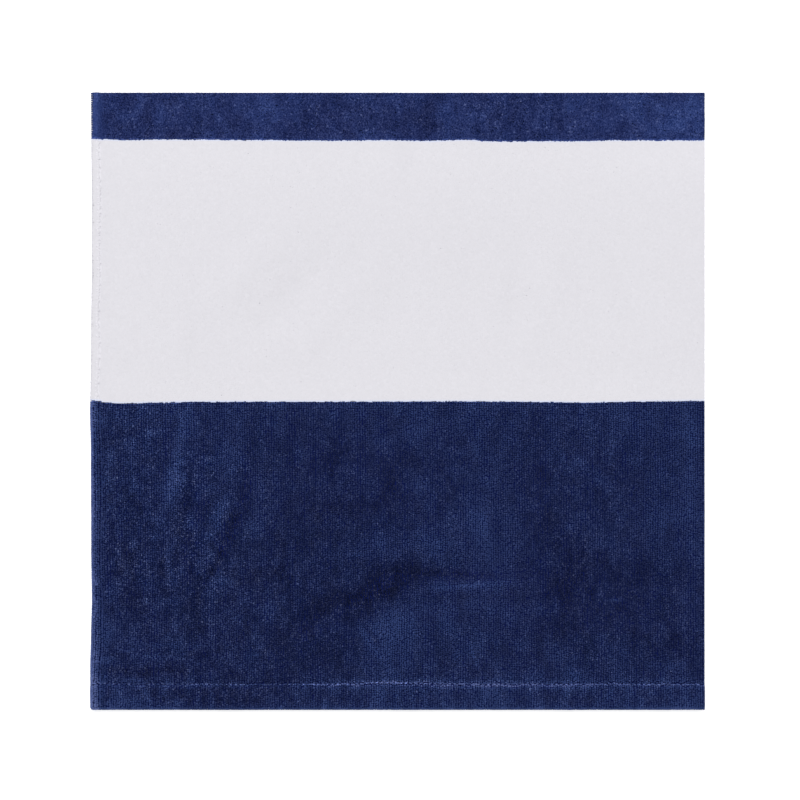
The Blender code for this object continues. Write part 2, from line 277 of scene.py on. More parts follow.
# How far the pile rows wander along the two stripe edges, from the side hem to the cut
Wander = namedtuple("Wander", "x far near")
ROW_WANDER = table(Wander, (MM, MM, MM), (
    (-213, 0.3, 0.8), (-208, -0.1, 0.5), (-204, 0, -0.8), (-191, -0.5, -1.4), (-170, -0.1, -0.8),
    (-143, -0.2, -0.2), (-108, -0.5, -0.1), (-50, -1, -0.1), (-3, -0.6, 0), (22, -1.2, 0.1),
    (48, -0.3, 0.1), (65, -1.4, 0), (101, -1.4, -0.3), (132, -1.3, -0.8), (148, -0.7, -0.4),
    (180, -0.7, 0.1), (210, -0.7, 0.4),
))
WANDER_REACH = 0.030  # how far from a stripe edge its wander still shows

# The hems' stitches: how far the line strays from straight, how deep it lies in the pile, and
# how light its thread is painted, lighter where it stands clear of the pile and catches the light
Sewn = namedtuple("Sewn", "x off sunk light")
SEWN_UNITS = (MM, MM, MM, 1.0)
SEWN_END = table(Sewn, SEWN_UNITS, (
    (-215, 0.8, 0.1, 0.20), (-206, 1.2, 0.05, 0.25), (-203, 0.3, 0.45, -0.10), (-142, 0.2, 0.52, -0.10),
    (-138, 0.3, 0.05, 0.70), (-133, 0.3, 0.05, 0.70), (-130, 0.2, 0.5, -0.10), (-123, 0.2, 0.22, 0.25),
    (-112, 0.2, 0.22, 0.25), (-108, 0.1, 0.52, -0.10), (-68, 0.1, 0.46, -0.10), (-65, 0.2, 0.05, 0.40),
    (-54, 0.2, 0.1, 0.35), (-34, 0.3, 0.08, 0.35), (-31, 0.2, 0.4, 0.00), (-26, 0.4, 0.3, 0.10),
    (-22, 0.9, 0.05, 0.60), (-18, 1.2, 0, 0.95), (-10, 1.3, 0, 0.85), (-4, 1.2, 0.12, 0.55),
    (5, 1.1, 0, 1.10), (9, 0.9, 0.26, 0.15), (30, 0.6, 0.3, 0.05), (70, 0.3, 0.34, -0.05),
    (215, 0.1, 0.34, -0.05),
))
SEWN_SIDE = table(Sewn, SEWN_UNITS, ((0, 0, 1.6, 0), (LENGTH / MM, 0, 1.6, 0)))

# Even noise over the cloth: its cells' size across and along, its seed and its strength
Noise = namedtuple("Noise", "across along seed strength")
STRAY_ACROSS = Noise(0.008, 0.026, 3, 0.00055)
STRAY_ALONG = Noise(0.020, 0.012, 4, 0.00028)
LEAN_ACROSS = Noise(0.014, 0.022, 5, 0.00022)
LEAN_ALONG = Noise(0.012, 0.018, 6, 0.00022)
NAVY_CLOUDS = Noise(0.0110, 0.0150, 22, 0.18)
NAVY_CLUMPS = Noise(0.0050, 0.0065, 21, 0.21)
NAVY_TUFTS = Noise(0.0032, 0.0040, 27, 0.10)
NAVY_GRAIN = Noise(0.0026, 0.0034, 24, 0.08)
WALE_STREAKS = Noise(None, 0.0160, 23, 0.12)  # across, their cells are as wide as a wale
HEM_STREAKS = Noise(0.0040, 0.0300, 25, 0.16)
HEM_CLUMPS = Noise(0.0030, 0.0060, 26, 0.20)
WHITE_CLOUDS = Noise(0.008, 0.012, 31, 0.003)
WHITE_CLUMPS = Noise(0.0035, 0.0045, 32, 0.004)

# Changes over a distance: from where, and over how long
Fade = namedtuple("Fade", "start length")
CUT_CALM = Fade(0.001, 0.006)  # wales run straight beside the long cut, and stray away from it
EDGE_CALM = Fade(0.002, 0.006)  # rows keep in line at the stripes' edges, and stray away from them
LEFT_FADE = Fade(0.07, 0.08)  # left of the middle, where the grain grows coarser
CORNER_FADE = Fade(0.020, 0.080)  # from the end hem up
FOLD_FADE = Fade(0.0030, 0.0030)  # from the end hem's fold in
SIDE_STRETCH = 2.0  # how many times as far it reaches in from the side hem's fold


# --- Sizes and colours that a user would change -----------------------------------------


def length_property(name, description, default):
    return bpy.props.FloatProperty(name=name, description=description, default=default, unit="LENGTH")


def colour_property(name, description, default):
    return bpy.props.FloatVectorProperty(
        name=name, description=description, default=default, size=3, subtype="COLOR"
    )


class TowelSizes(bpy.types.PropertyGroup):
    wale_pitch: length_property("Wale pitch", "Between upright lines of tufts", 0.00164)
    row_pitch: length_property("Row pitch", "Between rows of tufts", 0.00154)
    pile_height: length_property("Pile height", "Sheared pile above the ground weave", 0.00125)
    loop_height: length_property("Loop height", "Uncut loops below the ground weave", 0.0009)
    loop_pitch: length_property("Loop pitch", "Between the loops of the back", 0.0026)
    stitch_pitch: length_property("Stitch pitch", "Length of one hem stitch", 0.0034)
    thread_width: length_property("Thread width", "Diameter of the sewing thread", 0.00055)


class TowelColours(bpy.types.PropertyGroup):
    navy_dye: colour_property("Navy dye", "Navy pile down in the nap", (0.0042, 0.0105, 0.0935))
    far_dye: colour_property(
        "Far stripe's dye", "Navy pile of the far stripe down in the nap", (0.0015, 0.0072, 0.0935)
    )
    # painted glint: paleness painted on the single fibres and tips that catch the light
    navy_glint: colour_property(
        "Navy bloom", "Paleness of the single fibres and tips that catch the light", (0.0133, 0.0131, 0.0)
    )
    navy_lift: colour_property(
        "Navy lift", "Green that the nap gains as it lies lighter", (0.0, 0.0037, 0.0)
    )
    # painted sheen: paleness painted where the nap turns over a fold or a seam
    navy_fold_sheen: colour_property(
        "Navy turned",
        "Paleness that the nap gains where it turns over a fold or a seam",
        (0.0067, 0.0018, 0.0),
    )
    white: colour_property("White", "Undyed pile", (0.678, 0.668, 0.709))
    thread: colour_property("Thread", "Hem sewing thread", (0.20, 0.275, 0.67))


class TowelStage(bpy.types.PropertyGroup):
    lens: bpy.props.FloatProperty(name="Lens", description="Focal length in millimetres", default=100.0)
    frame_width: length_property("Frame width", "Width of the view at the cloth", 0.559)
    aim: bpy.props.FloatVectorProperty(
        name="Aim",
        description="Point of the cloth under the camera",
        default=(0.00189, 0.0009),
        size=2,
        unit="LENGTH",
    )
    dome: bpy.props.FloatProperty(name="Dome", description="Strength of the light all round", default=0.74)
    key_power: bpy.props.FloatProperty(
        name="Key power", description="Soft light over the far edge", default=66.0, unit="POWER"
    )
    floor_colour: colour_property("Floor", "Colour of the floor", (0.95, 0.95, 0.95))
    floor_glow: bpy.props.FloatProperty(
        name="Floor glow", description="Light that the floor itself gives, as lit paper does", default=0.40
    )


# --- The lie of the cloth ---------------------------------------------------------------


def smooth_step(value):
    """0 below 0, 1 above 1, and an even S between."""
    share = np.clip(value, 0.0, 1.0)
    return share * share * (3.0 - 2.0 * share)


def faded(at, fade):
    """0 up to a fade's start, 1 past its end."""
    return smooth_step((at - fade.start) / fade.length)


def bell(distance, reach):
    """1 in the middle, falling off softly on both sides over a reach."""
    return np.exp(-((distance / reach) ** 2))


def table_curve(at, rows, column):
    """A table's column at places between its rows, which the first column gives, eased between them."""
    keys = np.array([row[0] for row in rows])
    values = np.array([getattr(row, column) for row in rows])
    after = np.clip(np.searchsorted(keys, at), 1, len(keys) - 1)
    share = smooth_step((at - keys[after - 1]) / (keys[after] - keys[after - 1]))
    return values[after - 1] + (values[after] - values[after - 1]) * share


def mound_sum(x, y, mounds):
    """Strength of a table's mounds at points: each fades out over its length and width."""
    total = np.zeros_like(x)
    for mound in mounds:
        heading = math.radians(mound.heading)
        along = (x - mound.x) * math.cos(heading) + (y - mound.y) * math.sin(heading)
        across = (y - mound.y) * math.cos(heading) - (x - mound.x) * math.sin(heading)
        fade = (2.0 * along / mound.length) ** 2 + (2.0 * across / mound.width) ** 2
        total += mound.strength * np.exp(-fade)
    return total


def smooth_noise(x, y, noise):
    """Noise on both sides of 0, with hills about one cell wide and long."""
    across = (x + WIDTH) / noise.across
    along = (y + LENGTH) / noise.along
    shape = int(2.0 * LENGTH / noise.along) + 3, int(2.0 * WIDTH / noise.across) + 3
    hills = np.random.default_rng(noise.seed).uniform(-1.0, 1.0, shape)
    column = np.floor(across).astype(int)
    row = np.floor(along).astype(int)
    right = smooth_step(across - column)
    far = smooth_step(along - row)
    near_side = hills[row, column] * (1.0 - right) + hills[row, column + 1] * right
    far_side = hills[row + 1, column] * (1.0 - right) + hills[row + 1, column + 1] * right
    return (near_side * (1.0 - far) + far_side * far) * noise.strength


def rounded_corner(from_side, from_end):
    """Grid places once the corner between the hems is bent round."""
    across = np.clip(1.0 - from_side / CORNER_RADIUS, 0.0, 1.0)
    along = np.clip(1.0 - from_end / CORNER_RADIUS, 0.0, 1.0)
    bent_side = from_side + CORNER_RADIUS * across * (1.0 - np.sqrt(1.0 - along**2 / 2.0))
    bent_end = from_end + CORNER_RADIUS * along * (1.0 - np.sqrt(1.0 - across**2 / 2.0))
    return bent_side, bent_end


def groove(distance, hem):
    """Depth to which a hem's stitches draw the face down, at distances from its fold."""
    return hem.groove_depth * bell(distance - hem.stitches, hem.groove_reach)


def hem_height(distance, hem):
    """What a hem adds to the face's height, at distances from its fold."""
    rise = hem.rise * smooth_step((hem.stitches + HEM_STEP / 2.0 - distance) / HEM_STEP)
    return rise - groove(distance, hem)


def cloth_body(from_side, from_end):
    """(x, y, underside height, thickness) of the cloth, before its folds are rounded."""
    bent_side, bent_end = rounded_corner(from_side, from_end)
    inset = table_curve(from_end, SIDE_SWAY, "inset")
    x = -WIDTH / 2.0 + bent_side + inset * (1.0 - from_side / WIDTH)
    y = -LENGTH / 2.0 + bent_end
    swell = mound_sum(x, y, FOLDS)
    lift = np.maximum(0.0, swell - SLACK_UNDER)
    layers = THICKNESS + hem_height(from_side, SIDE_HEM) + hem_height(from_end, END_HEM)
    return x, y, lift, layers + swell - lift


def pressed(body):
    """How much of its free height the pile keeps, where the cloth is squeezed thin."""
    return np.minimum(1.0, body / THICKNESS)


# --- Meshes -----------------------------------------------------------------------------


def flat_grid(across, along):
    """Every pair of values across and along the cloth, row after row."""
    return (grid.ravel() for grid in np.meshgrid(across, along))


def mesh_piece(name, points, faces, material, smooth, **values):
    """An object from arrays of points and equal-sided faces, with a number for each point by name."""
    mesh = bpy.data.meshes.new(name)
    sides = faces.shape[1]
    mesh.vertices.add(len(points))
    mesh.vertices.foreach_set("co", points.astype(np.float32).ravel())
    mesh.loops.add(faces.size)
    mesh.loops.foreach_set("vertex_index", faces.astype(np.int32).ravel())
    mesh.polygons.add(len(faces))
    mesh.polygons.foreach_set("loop_start", np.arange(0, faces.size, sides, dtype=np.int32))
    mesh.update(calc_edges=True)
    mesh.polygons.foreach_set("use_smooth", np.full(len(faces), smooth))
    for label, numbers in values.items():
        attribute = mesh.attributes.new(label, "FLOAT", "POINT")
        attribute.data.foreach_set("value", numbers.astype(np.float32).ravel())
    mesh.materials.append(material)
    piece = bpy.data.objects.new(name, mesh)
    bpy.context.scene.collection.objects.link(piece)
    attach(piece, BODY)
    return piece


def flat_map(piece, plan):
    """Lays the piece's points out flat for painting, by a place in plan for each point."""
    mesh = piece.data
    low = plan.min(axis=0)
    share = (plan - low) / (plan.max(axis=0) - low)
    corners = np.empty(len(mesh.loops), np.int32)
    mesh.loops.foreach_get("vertex_index", corners)
    layer = mesh.uv_layers.new(name="OFBake")
    layer.uv.foreach_set("vector", share[corners].astype(np.float32).ravel())


def repeated(faces, count, points_each):
    """The faces of one small form, repeated for every copy of it."""
    offsets = np.arange(count)[:, None, None] * points_each
    return (np.array(faces)[None] + offsets).reshape(-1, len(faces[0]))


# --- Materials --------------------------------------------------------------------------


def is_number(value):
    """Whether a value is a plain number, or a socket that carries one."""
    if isinstance(value, Socket):
        return value.socket.type == "VALUE"
    return isinstance(value, (int, float))


class Socket:
    """An output of a material's node that can be summed, scaled and compared in plain Python."""

    def __init__(self, finish, socket):
        self.finish = finish
        self.socket = socket

    def worked(self, operation, first, second):
        node = self.finish.node
        if is_number(first) and is_number(second):
            return node("ShaderNodeMath", {"operation": operation}, {0: first, 1: second})
        if operation == "MULTIPLY" and (is_number(first) or is_number(second)):
            vector, number = (second, first) if is_number(first) else (first, second)
            return node("ShaderNodeVectorMath", {"operation": "SCALE"}, {0: vector, "Scale": number})
        return node("ShaderNodeVectorMath", {"operation": operation}, {0: first, 1: second})

    def __add__(self, other):
        return self.worked("ADD", self, other)

    __radd__ = __add__

    def __sub__(self, other):
        return self.worked("SUBTRACT", self, other)

    def __rsub__(self, other):
        return self.worked("SUBTRACT", other, self)

    def __mul__(self, other):
        return self.worked("MULTIPLY", self, other)

    __rmul__ = __mul__

    def __gt__(self, other):
        return self.worked("GREATER_THAN", self, other)

    def __lt__(self, other):
        return self.worked("LESS_THAN", self, other)


GRAIN_TILT = (0.70, 0.50, 0.30)  # keeps the noise's own grid out of line with the cloth
WAVE_SCALE = math.pi / 10.0  # a wave node's scale for ribs one metre wide
SHEEN_ROUGHNESS = 0.5


class Finish:
    """A material under way: its node tree and the shader that the nodes feed."""

    def __init__(self, name, roughness, gloss=0.1, sheen=0.0, sheen_tint=(1.0, 1.0, 1.0)):
        self.material = bpy.data.materials.new(name)
        self.material.use_nodes = True
        self.tree = self.material.node_tree
        self.shader = self.tree.nodes["Principled BSDF"]
        self.feed(self.shader.inputs["Roughness"], roughness)
        self.feed(self.shader.inputs["Specular IOR Level"], gloss)
        self.feed(self.shader.inputs["Sheen Weight"], sheen)
        self.feed(self.shader.inputs["Sheen Roughness"], SHEEN_ROUGHNESS)
        self.feed(self.shader.inputs["Sheen Tint"], sheen_tint)

    def node(self, kind, settings=None, inputs=None, output=0):
        """Adds a node of a kind, sets it up, feeds its sockets and returns one of its outputs."""
        made = self.tree.nodes.new(kind)
        for name, value in (settings or {}).items():
            setattr(made, name, value)
        for name, value in (inputs or {}).items():
            self.feed(made.inputs[name], value)
        return Socket(self, made.outputs[output])

    def feed(self, socket, value):
        if isinstance(value, Socket):
            self.tree.links.new(value.socket, socket)
        elif socket.type == "RGBA":
            socket.default_value = (*value, 1.0)
        else:
            socket.default_value = value

    def number(self, name):
        """A number that the mesh holds for each of its points."""
        return self.node("ShaderNodeAttribute", {"attribute_name": name}, output="Fac")

    def place(self):
        """The point's place on the cloth, in metres."""
        return self.node("ShaderNodeTexCoord", output="Object")

    def blend(self, factor, first, second):
        """Colour between two others."""
        colours = {"Factor": factor, 6: first, 7: second}
        return self.node("ShaderNodeMix", {"data_type": "RGBA"}, colours, output=2)

    def grain(self, size, detail=2.0, stretch=(1.0, 1.0, 1.0)):
        """Noise about 0.5, with grains of a size in metres."""
        turned = {"Vector": self.place(), "Rotation": GRAIN_TILT, "Scale": stretch}
        place = self.node("ShaderNodeMapping", {"vector_type": "POINT"}, turned)
        inputs = {"Vector": place, "Scale": 1.0 / size, "Detail": detail}
        return self.node("ShaderNodeTexNoise", {"noise_dimensions": "3D"}, inputs)

    def waves(self, direction, width):
        """Even ribs, each of a width in metres, that follow one another in a direction."""
        inputs = {"Vector": self.place(), "Scale": WAVE_SCALE / width}
        return self.node("ShaderNodeTexWave", {"bands_direction": direction}, inputs, output="Fac")

    def bump(self, height, depth, strength):
        inputs = {"Height": height, "Distance": depth, "Strength": strength}
        self.feed(self.shader.inputs["Normal"], self.node("ShaderNodeBump", None, inputs))

    def colour(self, value):
        self.feed(self.shader.inputs["Base Color"], value)

    def roughness(self, value):
        self.feed(self.shader.inputs["Roughness"], value)


FLECK = 0.0008  # size of the flecks in the pile, across the wale
FLECK_STRETCH = 0.78  # their size across the wale, as a share of that along it
FOLD_SHEEN_FROM = 1.6  # painted sheen makes the nap paler where its tone is above this, as on a fold
PILE_ROUGH = 0.8
FLECK_ROUGH = 0.2  # how much rougher the lightest flecks are
YARN = 0.0008  # thickness of a ground yarn
YARN_FUZZ = 0.4  # how much its fibres stand out, as a share of its own height
YARN_HOLLOW_SHADE = 0.75  # painted shade: lightness in the hollows of the ground weave
YARN_TOP_LIGHT = 0.35  # painted light: how much lighter the yarns' tops are
TWIST_HOLLOW_SHADE = 0.8  # the same for twisted yarn: painted shade in its hollows
# painted light: how much lighter the twisted yarn's tops are
TWIST_TOP_LIGHT = 0.4
DYE_REACH = 0.0014  # how far the dye has run on both sides of a stripe's edge
NAVY_RUN = (0.012, 0.022, 0.075)  # how much paler that leaves the navy
WHITE_RUN = (-0.09, -0.03, 0.12)  # how much bluer it turns the white
NO_TINT = (0.0, 0.0, 0.0)

# How a pile takes the light: the painted shade at a tuft's foot, as its lightness next to its tip, how
# strong the flecks are, and the shader's own gloss and sheen
Nap = namedtuple("Nap", "foot_share fleck gloss sheen sheen_tint")
NAVY_NAP = Nap(foot_share=0.60, fleck=1.82, gloss=0.03, sheen=0.10, sheen_tint=(0.2, 0.35, 1.0))
LIGHT_NAP = NAVY_NAP._replace(fleck=3.2)
WHITE_NAP = Nap(foot_share=0.95, fleck=0.06, gloss=0.05, sheen=0.05, sheen_tint=(1.0, 1.0, 1.0))


def pile_finish(name, nap, dye, run, glint, lift, turned):
    """Sheared pile: painted shade between the tufts, each tip lighter or darker, with fibre flecks,
    painted glints and painted sheen on the folds.
    """
    finish = Finish(name, PILE_ROUGH, nap.gloss, nap.sheen, nap.sheen_tint)
    flecks = finish.grain(FLECK, detail=1.0, stretch=(1.0, FLECK_STRETCH, 1.0))
    # painted shade: each tuft darker towards its foot, where the tufts shade one another
    depth = nap.foot_share + finish.number("height") * (1.0 - nap.foot_share)
    fleck = (flecks - 0.5) * finish.number("grain") * nap.fleck
    fine = finish.number("shade") * depth * (1.0 + fleck)
    tone = finish.number("tone")
    # painted sheen where the tone runs high, as on the hems' folds
    over = (tone > FOLD_SHEEN_FROM) * (tone - FOLD_SHEEN_FROM)
    edge = finish.number("edge")
    ran = (edge < DYE_REACH) * (1.0 - edge * (1.0 / DYE_REACH))
    # glint is the painted highlight on the lit tips, turned the painted sheen on the folds
    finish.colour(tone * fine * (fine * glint + tone * lift + over * turned + ran * run + dye))
    finish.roughness(PILE_ROUGH + flecks * FLECK_ROUGH)
    return finish.material


def ground_finish(name, navy, white):
    """Plain woven ground in the stripes' colours, with the yarns crossing over and under, painted shade in
    its hollows and painted light on the yarns' tops.
    """
    finish = Finish(name, roughness=0.95)
    place = finish.node("ShaderNodeSeparateXYZ", None, {0: finish.place()}, output="Y")
    edge = -LENGTH / 2.0 + NEAR_STRIPE
    white_share = (place > edge) * (place < edge + WHITE_STRIPE)
    relief = finish.waves("X", YARN) * finish.waves("Y", YARN) + finish.grain(YARN / 3.0) * YARN_FUZZ
    finish.colour(finish.blend(white_share, navy, white) * (YARN_HOLLOW_SHADE + relief * YARN_TOP_LIGHT))
    finish.bump(relief, depth=YARN / 4.0, strength=0.7)
    return finish.material


def loop_finish(name, dye):
    """Uncut loops of the back: twisted yarn with painted shade in its hollows, each loop a little lighter
    or darker.
    """
    finish = Finish(name, roughness=0.92)
    twist = finish.grain(YARN / 2.0, stretch=(1.0, 0.4, 1.0))
    finish.colour(finish.number("tone") * (TWIST_HOLLOW_SHADE + twist * TWIST_TOP_LIGHT) * dye)
    finish.bump(twist, depth=0.0002, strength=0.6)
    return finish.material


def thread_finish(name, dye):
    """Plied sewing thread with a slight lustre, and painted shade in the hollows between its plies."""
    finish = Finish(name, roughness=0.5, gloss=0.3)
    ply = finish.grain(0.0004, detail=1.0)
    finish.colour(finish.number("tone") * (TWIST_HOLLOW_SHADE + ply * TWIST_TOP_LIGHT) * dye)
    finish.bump(ply, depth=0.0001, strength=0.5)
    return finish.material


# --- Pile -------------------------------------------------------------------------------

Lines = namedtuple("Lines", "distance angle unrolled")
FOLD_ANGLES = (-56.0, -19.0, 18.0, 55.0)  # the tufts round a turned edge, from below to above
FOLD_MARGIN = 0.2  # first line of the open face past a fold, as a share of the pitch
FLAT_ANGLE = 1.5  # radians: tufts at more than this are on the open face, at less than -this, below
OPEN_LEVEL = 0.9  # tufts that point up by more than this are on the open face
PILE_CLOSES = 0.7  # share of the end hem's stitch groove that the pile on both sides closes over
SLOPE_STEP = 0.0004  # distance over which the face's slope is taken
CUT_UNEVEN = 0.00008  # the shears leave some tufts this much short of the cloth's outline
CORNER_LOWEST = -20.0  # at the corner between the hems, tufts go no further under than this

# How much tufts differ one by one
TUFT_SEED = 11
STRAY_TUFT = (0.00014, 0.00017)  # across and along
LEAN_TUFT = 0.00012
LEAN_NEAR = -0.00015  # the whole nap leans towards the end hem by this much
SHEARED = (0.86, 1.0)  # height, as a share of the pile's
SPREAD = (0.85, 1.1)  # width, as a share of the form's
RAGGED = 0.00018  # how far white tufts stand over the stripe's edge, or short of it


def tuft_lines(pitch, hem, stops):
    """The lines of tufts: under the hem, round its fold and over the face, evenly from stop to stop."""
    under = np.arange(hem.stitches + FLAP_PAST_STITCHES - pitch / 2.0, FOLD_ROUND, -pitch)
    turned = np.radians(FOLD_ANGLES)
    starts = (FOLD_ROUND + pitch * (FOLD_MARGIN - 0.5), *stops)
    spans = []
    for start, stop in zip(starts, stops):
        count = round((stop - start) / pitch)
        spans.append(start + (np.arange(count) + 0.5) * (stop - start) / count)
    over = np.concatenate(spans)
    distance = np.concatenate([under, FOLD_ROUND * (1.0 - np.cos(turned)), over])
    angle = np.concatenate([np.full(len(under), -math.pi / 2), turned, np.full(len(over), math.pi / 2)])
    return Lines(distance, angle, np.arange(len(distance)) * pitch)


def kept_tufts(side_angle, end_angle, from_end):
    """Which places of the grid of tufts lie on the cloth: the two hems' undersides share a corner."""
    lowest = math.radians(CORNER_LOWEST)
    both_turn = (side_angle < FLAT_ANGLE) & (end_angle < FLAT_ANGLE)
    reached = (side_angle > lowest) & (end_angle > lowest)
    under_both = (side_angle < -FLAT_ANGLE) & (from_end < END_HEM.stitches + FLAP_PAST_STITCHES)
    return (~both_turn | reached) & ~under_both


def edge_distance(from_end):
    """0 at the stripes' edges and at the cut, 1 a few rows away from them."""
    share = np.ones_like(from_end)
    for edge in (NEAR_STRIPE, FAR_EDGE, LENGTH):
        share *= faded(np.abs(from_end - edge), EDGE_CALM)
    return share


def side_step(from_side):
    """1 where the side hem's step ends, 0 a few wales away from it."""
    return bell(from_side - STEP_PLACE, STEP_REACH)


def row_wander(x, from_end):
    """How far the pile rows stray along the cloth, most beside the stripe edges."""
    far = table_curve(x, ROW_WANDER, "far") * bell(from_end - FAR_EDGE, WANDER_REACH)
    near = table_curve(x, ROW_WANDER, "near") * bell(from_end - NEAR_STRIPE, WANDER_REACH)
    return far + near


def pile_height(from_side, from_end):
    """Height of the pile's tips on the open face."""
    low, body = cloth_body(from_side, from_end)[2:]
    closed = groove(from_side, SIDE_HEM) + groove(from_end, END_HEM) * PILE_CLOSES
    return low + body + closed


def tuft_normals(from_side, from_end, side_angle, end_angle, level):
    """Which way each tuft points: square to the face's slope, or out of the fold."""
    step = SLOPE_STEP
    rise_x = pile_height(from_side + step, from_end) - pile_height(from_side - step, from_end)
    rise_y = pile_height(from_side, from_end + step) - pile_height(from_side, from_end - step)
    normal = np.stack([-np.cos(side_angle), -np.cos(end_angle), level], axis=1)
    normal[:, 0] -= (level > OPEN_LEVEL) * rise_x / (2.0 * step)
    normal[:, 1] -= (level > OPEN_LEVEL) * rise_y / (2.0 * step)
    return normal / np.linalg.norm(normal, axis=1)[:, None]


def pile_tufts(sizes):
    """Every tuft of the cloth: place, direction, size, and what its lightness depends on."""
    side = tuft_lines(sizes.wale_pitch, SIDE_HEM, (WIDTH,))
    end = tuft_lines(sizes.row_pitch, END_HEM, (NEAR_STRIPE, FAR_EDGE, LENGTH))
    column, row = flat_grid(np.arange(len(side.angle)), np.arange(len(end.angle)))
    kept = kept_tufts(side.angle[column], end.angle[row], end.distance[row])
    column, row = column[kept], row[kept]
    from_side, from_end = side.distance[column], end.distance[row]
    side_angle, end_angle = side.angle[column], end.angle[row]
    count = len(column)
    random = np.random.default_rng(TUFT_SEED)

    x, y, low, body = cloth_body(from_side, from_end)
    level = np.minimum(np.sin(side_angle), np.sin(end_angle))
    open_face = level > OPEN_LEVEL
    over = pile_height(from_side, from_end)
    under = low + body * (1.0 + level) / 2.0
    tip = np.stack([x, y, np.where(open_face, over, under)], axis=1)
    stray_x = smooth_noise(x, y, STRAY_ACROSS) + random.normal(0.0, STRAY_TUFT[0], count)
    stray_x *= faded(WIDTH - from_side, CUT_CALM)
    stray_y = smooth_noise(x, y, STRAY_ALONG) + random.normal(0.0, STRAY_TUFT[1], count)
    phase = random.uniform(-0.5, 0.5, len(side.angle))[column] * sizes.row_pitch
    stray_y += phase * edge_distance(from_end)
    tip[:, 0] += stray_x * open_face
    tip[:, 1] += (stray_y + row_wander(x, from_end)) * open_face

    lean = np.zeros((count, 3))
    lean[:, 0] = smooth_noise(x, y, LEAN_ACROSS) + random.normal(0.0, LEAN_TUFT, count)
    lean[:, 1] = LEAN_NEAR + smooth_noise(x, y, LEAN_ALONG) + random.normal(0.0, LEAN_TUFT, count)
    lean *= open_face[:, None]
    return {
        "tip": tip,
        "normal": tuft_normals(from_side, from_end, side_angle, end_angle, level),
        "lean": lean,
        "plan": np.stack([side.unrolled[column], end.unrolled[row]], axis=1),
        "from_side": from_side,
        "from_end": from_end,
        "height": sizes.pile_height * pressed(body) * random.uniform(*SHEARED, count),
        "wide": random.uniform(*SPREAD, count) * (1.0 + STEP_WIDER * side_step(from_side)),
        "turn": random.uniform(0.0, 2.0 * math.pi, count),
        "open": open_face,
        "level": level,
        "ragged": random.normal(0.0, RAGGED, count),
        "grain": random.normal(0.0, 1.0, count),
        "point_grain": random.normal(0.0, 1.0, (count, TUFT_POINTS)),
        "speck": random.uniform(0.0, 1.0, (count, TUFT_POINTS)),
        "trim": random.uniform(0.0, CUT_UNEVEN, count),
    }


def rim_sheen(tufts):
    """Painted sheen on the nap where it turns over the folds of the two hems, with painted light on the
    side hem's shelf and at its step.
    """
    along, side = tufts["from_end"], tufts["from_side"]
    reach, peak, shelf = (table_curve(along, RIM, name) for name in ("reach", "peak", "shelf"))
    upper = smooth_step(tufts["level"] + RIM_BELOW)
    tone = peak * upper * np.exp(-((side / reach) ** RIM_EDGE))
    tone += shelf * smooth_step((SIDE_HEM.stitches + SHELF_PAST - side) / SHELF_FADE)
    tone += STEP_FILL_LIGHT * side_step(side)
    return tone + END_RIM.peak * upper * np.exp(-((along / END_RIM.reach) ** END_RIM_EDGE))


def navy_grain(tufts):
    """How coarse the navy pile's grain is: coarser to the left and where the nap lies dark."""
    x, y = tufts["tip"][:, 0], tufts["tip"][:, 1]
    corner = faded(tufts["from_end"], CORNER_FADE)
    near = 1.0 + LEFT_COARSER * faded(-x, LEFT_FADE) * (1.0 - CORNER_SPARED * (1.0 - corner))
    stripe = np.where(tufts["from_end"] > NEAR_STRIPE, FAR_STRIPE_GRAIN, near)
    fold = np.minimum(tufts["from_side"] / SIDE_STRETCH, tufts["from_end"])
    stripe *= TURNED_GRAIN + (1.0 - TURNED_GRAIN) * faded(fold, FOLD_FADE)
    tone = mound_sum(x, y, BRUSHED_AND_SHADED_NAVY)
    evened = -LIGHT_EVENED * np.maximum(tone, 0.0) - DARK_EVENED * np.minimum(tone, 0.0)
    return stripe * np.exp(evened + mound_sum(x, y, COARSER_NAVY))


def navy_tone(tufts):
    """How light the navy nap lies round each tuft: brushed places with painted shade and light along the
    folds, the far stripe's painted light, clouds, hems, painted light beside the end hem's stitches and
    painted sheen on the hems' folds.
    """
    x, y = tufts["tip"][:, 0], tufts["tip"][:, 1]
    tone = mound_sum(x, y, BRUSHED_AND_SHADED_NAVY)
    tone += np.where(tufts["from_end"] > NEAR_STRIPE, FAR_STRIPE_LIGHT, 0.0)
    coarse = tufts["grain_share"]
    in_hem = smooth_step((END_HEM.stitches - tufts["from_end"]) / HEM_FADE)
    for noise, share in (
        (NAVY_CLOUDS, np.minimum(1.0, coarse)),
        (NAVY_CLUMPS, coarse),
        (NAVY_TUFTS, coarse),
        (HEM_STREAKS, in_hem),
        (HEM_CLUMPS, in_hem),
    ):
        tone += smooth_noise(x, y, noise) * share
    gap = tufts["from_end"] - END_HEM.stitches - table_curve(x, SEWN_END, "off")
    # painted light on both sides of the end hem's stitch groove
    tone += table_curve(x, STITCH_GLOW, "wide") * bell(gap, WIDE_GLOW)
    tone += table_curve(x, STITCH_GLOW, "near") * bell(gap, NEAR_GLOW)
    # painted sheen on the hems' folds
    return np.minimum(tone + rim_sheen(tufts), LIGHTEST)


def navy_shade(tufts, wale_pitch):
    """How light each corner of a navy tuft is next to the nap round it: wales, tufts and specks."""
    x, y = tufts["tip"][:, 0], tufts["tip"][:, 1]
    shade = smooth_noise(x, y, NAVY_GRAIN)
    shade += smooth_noise(tufts["from_side"], y, WALE_STREAKS._replace(across=wale_pitch))
    shade += tufts["grain"] * TUFT_GRAIN
    specks = np.where(tufts["speck"] > 1.0 - SPECK_SHARE, SPECK_TONE, 0.0)
    shade = shade[:, None] + tufts["point_grain"] * POINT_GRAIN + specks
    shade = np.minimum(shade * tufts["grain_share"][:, None], LIGHTEST_SHADE)
    return np.minimum(shade, LIGHTEST - tufts["tone"][:, None])


